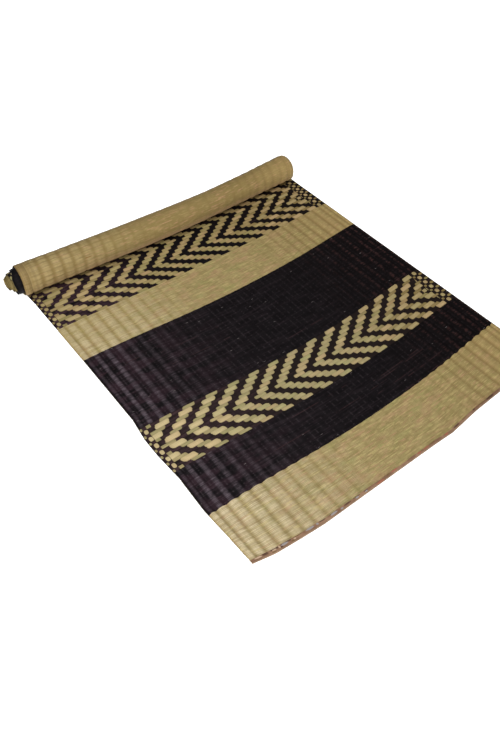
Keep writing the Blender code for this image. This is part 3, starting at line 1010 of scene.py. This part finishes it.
def ink_colour(w):
    """The colour of the black straws."""
    ink = Paint(w.blotches.rise(0.35, 0.65), INK_TONES)
    # Painted shade: the ink darker at the right, where less sheen falls
    ink.lay("right", w.at_right, 0.80, 8, 4, 4)
    # Partly painted sheen: purple-brown patches lighten the ink at the left, where the sheen falls
    ink.lay("tints", w.tints.rise(0.40, 0.62) * (w.outer_face * -0.8 + 1.0), w.at_left * 0.50, 58, 39, 47)
    where = w.each_straw.rise(0.46, 0.72) * w.plain * (w.leftness * 0.09 + 0.015)
    ink.lay("straws", where, 1.0, 100, 82, 90)
    uneven = w.mottle.rise(0.40, 0.60)
    where = w.crest.rise(0.72, 1.0) * w.at_right ** 3.0 * w.plain * uneven * w.broken.rise(0.36, 0.60)
    ink.lay("crests", where, 0.85, 66, 42, 40)
    # Painted sheen: the black floats of the chevrons paler at the left
    ink.lay("floats", w.chevrons * (w.dull * 0.30 + uneven * 0.35), w.at_left, 80, 58, 64)

    # Painted sheen on the crests at the left, in broken marks, and dots where warps pass
    painted_sheen_strength = w.leftness ** 8.5 * (w.outer_face * -0.8 + 1.2) * w.across.rise(0.008, 0.040, 0.30, 1.08)
    streak = w.mottle.rise(0.36, 0.64, 0.40, 1.0) * w.each_straw.rise(0.34, 0.66, 0.62, 1.12)
    streak = streak * (w.line * -0.5 + 1.0)
    ink.lay("sheen", w.crest.rise(0.60, 1.0) * w.plain * painted_sheen_strength * streak, 1.0, 97, 86, 93)
    dots = scatter(w.straw_count, w.warp_count, w.underside.whole()).rise(0.3, 1.0)
    where = ridge(w.half_ribs, 0.20) * dots * w.plain * (w.leftness * 0.14 + 0.070)
    ink.lay("dots", where, 1.0, 96, 86, 90)
    ink.lay("red straws", (w.long_straw > 0.98) * w.broken.rise(0.40, 0.55), 0.14, 104, 72, 74)
    even_row = w.row * STRAWS_PER_ROW
    fleck = scatter(even_row.whole(), (w.across * 180.0).whole(), w.underside.whole() + 9.0) > 0.9982
    ink.lay("flecks", fleck * ridge(even_row + 0.5, 0.30) * w.plain, 0.50, 150, 142, 140)
    ink.lay("lines", w.line, 0.50, 9, 7, 8)
    ink.lay("gaps", w.gap, 0.50, 9, 7, 8)
    ink.lay("edge", w.column < FIRST_COLUMN + 0.6, 0.70, 10, 8, 10)
    ink.lay("chevrons", w.narrow * 0.28 + w.wide * w.at_right * 0.14, 1.0, 54, 42, 36)
    ink.lay("outer face", w.outer_face, 0.75, 9, 8, 9)

    # Rims are paler, because cut ends show there; on the roll their grey is also painted sheen along the
    # turns' edges
    rim = w.underside.rise(0.02, 0.10) * w.underside.fall(0.90, 0.98)
    ink.lay("rolled rims", rim * (w.along > RIMS_ROLLED_FROM), 0.45, 84, 82, 84)
    at_right_rim = (w.column > LAST_COLUMN - 0.25) * 0.8
    where = (rim * (w.along < RIMS_ROLLED_FROM)).larger(at_right_rim) * w.plain
    ink.lay("flat rims", where, 1.0, 112, 106, 88)
    return ink.colour


def sedge_material():
    made, tree, shader = new_material("woven_sedge")
    w = read_weave(tree)
    shadow = (w.off_middle * w.off_middle * w.chevrons * 0.4).flipped()
    colour = mixed(w.natural, ink_colour(w), straw_colour(w))
    straws = abs(w.straw_row.part() - 0.5).fall(0.10, 0.50)
    height = straws * (w.broken * 0.8 + 0.4) + w.fibres * 0.6
    looks = {
        "Base Color": scaled(shadow, colour),
        "Roughness": w.natural * 0.08 + 0.46 + w.fibres * 0.12,
        "Specular IOR Level": 0.045,
        "Normal": add_bump(tree, height, 0.00028, 0.7),
    }
    set_inputs(shader, looks)
    return made


# The print on the tape
TAPE_TONES = ((120, 89, 68), (148, 116, 92))
TAPE_SHADES = {
    "dark": (66, 45, 36),
    "cream": (196, 170, 142),
    "blue": (152, 150, 150),
    "olive": (104, 82, 46),
    "red": (158, 92, 72),
}
THREADS = 2600.0
MILLIMETRE = 0.001
# Its blots, in millimetres: how far across, half the length, how far the middle lies from the near edge, half
# the height, and the shade
TAPE_BLOTS = (
    (18, 10, 6.2, 2, "cream"),
    (35, 8, 7.5, 3, "dark"),
    (57, 10, 8.4, 2.6, "dark"),
    (56, 5, 7, 1.6, "cream"),
    (53, 6, 3.5, 1.5, "olive"),
    (68, 2, 7, 3.5, "cream"),
    (80, 9, 9.8, 1.8, "dark"),
    (80, 9, 7.2, 2.6, "blue"),
    (72, 3, 5, 2, "dark"),
    (92, 5, 8.8, 2.2, "dark"),
    (99, 4, 4, 1.8, "olive"),
    (104, 3, 6, 1.8, "cream"),
    (113, 11, 8.8, 1.4, "olive"),
    (143, 11, 7.4, 2.6, "blue"),
    (161, 3, 7.4, 2.6, "blue"),
    (174.5, 8.5, 8.2, 1.8, "dark"),
    (204, 12, 8.2, 1.2, "dark"),
    (204, 10, 6, 2.4, "blue"),
    (225, 4, 4.5, 2, "blue"),
    (242, 10, 6.2, 2, "dark"),
    (268, 10, 6.6, 1.4, "dark"),
    (268, 5, 4.8, 1.8, "blue"),
    (294, 6, 6, 1.4, "dark"),
    (294, 4, 4.4, 1.6, "blue"),
    (334, 12, 2.8, 2.4, "red"),
    (360, 5, 6, 1.6, "olive"),
    (378, 10, 5.6, 2, "red"),
    (455, 6, 5, 2.2, "red"),
    (477, 9, 5.6, 2, "red"),
    (498, 8, 6.2, 1.4, "olive"),
    (542, 6, 4.6, 2.2, "red"),
    (578, 13, 5.2, 2.2, "dark"),
    (610, 10, 6.2, 1.4, "olive"),
    (647, 4, 5.6, 2.2, "dark"),
    (677, 15, 6.2, 1.4, "olive"),
    (707, 15, 4.6, 3, "dark"),
)


def tape_material():
    made, tree, shader = new_material("printed_cotton_tape")
    across, from_edge = read_map(tree, "cloth")
    weave = noise(2.0, across * 900.0, from_edge * 900.0)
    patches = noise(2.0, across * 30.0, from_edge * 60.0)
    ragged = noise(2.0, across * 260.0, from_edge * 420.0)
    cloth = Paint(patches.rise(0.35, 0.65), TAPE_TONES)
    cloth.lay("right part", across.rise(0.45, 0.75), 0.45, 108, 80, 60)
    cloth.lay("worn near edge", from_edge.fall(0.0012, 0.0034), 0.35, 130, 118, 100)
    for place, reach, distance, height, shade in TAPE_BLOTS:
        sideways = (across - place * MILLIMETRE) * (1.0 / (reach * MILLIMETRE))
        upwards = (from_edge - distance * MILLIMETRE) * (1.0 / (height * MILLIMETRE))
        blot = (sideways * sideways + upwards * upwards + ragged * 1.4).fall(1.25, 1.85)
        cloth.lay(shade, blot, 0.74, *TAPE_SHADES[shade])
    threads = ((across * THREADS).sine() + (from_edge * THREADS).sine()) * 0.25 + weave
    looks = {
        "Base Color": scaled(weave * 0.25 + 0.88, cloth.colour),
        "Roughness": 0.85,
        "Specular IOR Level": 0.2,
        "Normal": add_bump(tree, threads, 0.00015, 0.6),
    }
    set_inputs(shader, looks)
    return made


FLOOR_HALF, FLOOR_DROP = 6.0, 0.0004
WHITE = (1.0, 1.0, 1.0, 1.0)
FLOOR_LOOKS = {
    "Base Color": (0.86, 0.86, 0.86, 1.0),
    "Roughness": 0.9,
    "Specular IOR Level": 0.0,
    "Emission Color": WHITE,
    "Emission Strength": 0.80,
}


def floor_plane():
    mesh = bpy.data.meshes.new("floor")
    corners = [(x * FLOOR_HALF, y * FLOOR_HALF, 0) for x, y in ((-1, -1), (1, -1), (1, 1), (-1, 1))]
    mesh.from_pydata(corners, [], [(0, 1, 2, 3)])
    floor = add_object("floor", mesh)
    floor.location.z = -FLOOR_DROP
    made, _, shader = new_material("pale_floor")
    set_inputs(shader, FLOOR_LOOKS)
    mesh.materials.append(made)
    return floor


CAMERA_PLACE = (-0.79392, -0.88607, 1.20659)
CAMERA_RIGHT = (0.78533727, -0.61843198, 0.02805811)
CAMERA_UP = (0.45894344, 0.61202547, 0.64404684)
CAMERA_AHEAD = (0.41547144, 0.49291690, -0.76447171)
LENS = 31.488


def add_camera():
    made = bpy.data.cameras.new("camera")
    made.lens = LENS
    made.sensor_width = 36.0
    made.clip_start = 0.05
    camera = add_object("camera", made)
    turn = Matrix([CAMERA_RIGHT, CAMERA_UP, [-part for part in CAMERA_AHEAD]]).transposed().to_4x4()
    camera.matrix_world = Matrix.Translation(CAMERA_PLACE) @ turn
    bpy.context.scene.camera = camera


LIGHTS = {
    "key": {"place": (-0.9, -0.6, 2.3), "aim": (0.0, 0.0, 0.0), "size": 2.0, "power": 38.0},
    "above": {"place": (0.3, 0.2, 2.3), "aim": (0.2, 0.1, 0.0), "size": 1.8, "power": 18.0},
    "front": {"place": (-2.5, -4.5, 1.0), "aim": (0.0, 0.3, 0.0), "size": 2.5, "power": 190.0},
}
AMBIENT = 0.28


def add_lights():
    for name, look in LIGHTS.items():
        made = bpy.data.lights.new(name, "AREA")
        made.energy, made.size = look["power"], look["size"]
        light = add_object(name, made)
        light.location = look["place"]
        ahead = Vector(look["aim"]) - Vector(look["place"])
        light.rotation_euler = ahead.to_track_quat("-Z", "Y").to_euler()
    world = bpy.data.worlds.new("studio")
    world.use_nodes = True
    set_inputs(world.node_tree.nodes["Background"], {"Color": WHITE, "Strength": AMBIENT})
    bpy.context.scene.world = world


def main():
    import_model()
    mat, tape = woven_sheet(), end_tape()
    mat.data.materials.append(sedge_material())
    tape.data.materials.append(tape_material())
    for piece, node, slot in ((mat, "mat", "sedge"), (tape, "end_binding", "binding_tape")):
        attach(piece, "root")
        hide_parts(node)
    floor_plane()
    add_lights()
    add_camera()
    bpy.context.scene.view_settings.view_transform = "Standard"


main()
